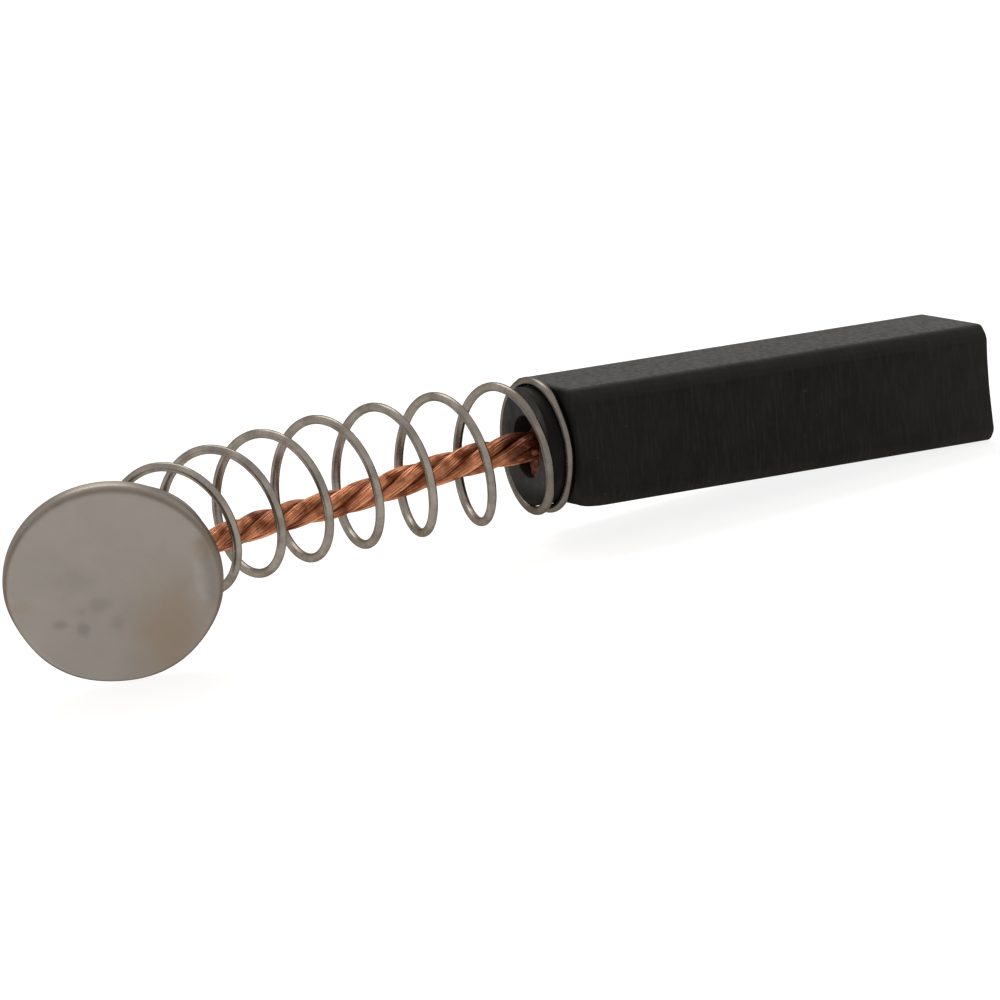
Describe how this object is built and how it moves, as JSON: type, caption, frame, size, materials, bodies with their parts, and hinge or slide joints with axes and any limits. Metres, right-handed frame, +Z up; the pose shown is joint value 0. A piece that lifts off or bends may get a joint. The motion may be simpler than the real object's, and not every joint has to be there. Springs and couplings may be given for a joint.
{
  "type": "carbon brush",
  "caption": "Carbon motor brush: bevelled block with a concave contact end, compression spring, stranded copper shunt and a round pressed-metal contact disc.",
  "frame": {"origin": "centre of the bounding box's bottom face, on the ground that the brush lies on", "axes": "+X from the contact disc towards the contact end of the carbon block, +Y to the side away from the disc's face, +Z up from the ground"},
  "size_m": [0.0564, 0.014, 0.0106],
  "materials": {
    "carbon": "dark grey pressed carbon-graphite, fine grain, faint machining lines, dull sheen",
    "copper_powder": "dark red-brown packed copper powder",
    "copper": "bare stranded copper, soft sheen, dark between the strands",
    "spring_steel": "drawn stainless spring wire, satin",
    "plated_sheet": "dull plated sheet, tarnished with a faint brown stain",
    "solder": "dull grey solder"
  },
  "bodies": {
    "brush": {"carbon_block": "carbon", "tamping_compound": "copper_powder", "shunt": "copper", "spring": "spring_steel"},
    "disc": {"contact_disc": "plated_sheet", "solder_joint": "solder"}
  },
  "joints": [
    {"name": "spring_travel", "type": "slide", "parent": "brush", "child": "disc", "axis": [0.9619, 0.2733, 0.0021], "range_m": [0, 0.012], "stiffness_N_per_m": 250, "deforming": ["spring", "shunt"]}
  ]
}
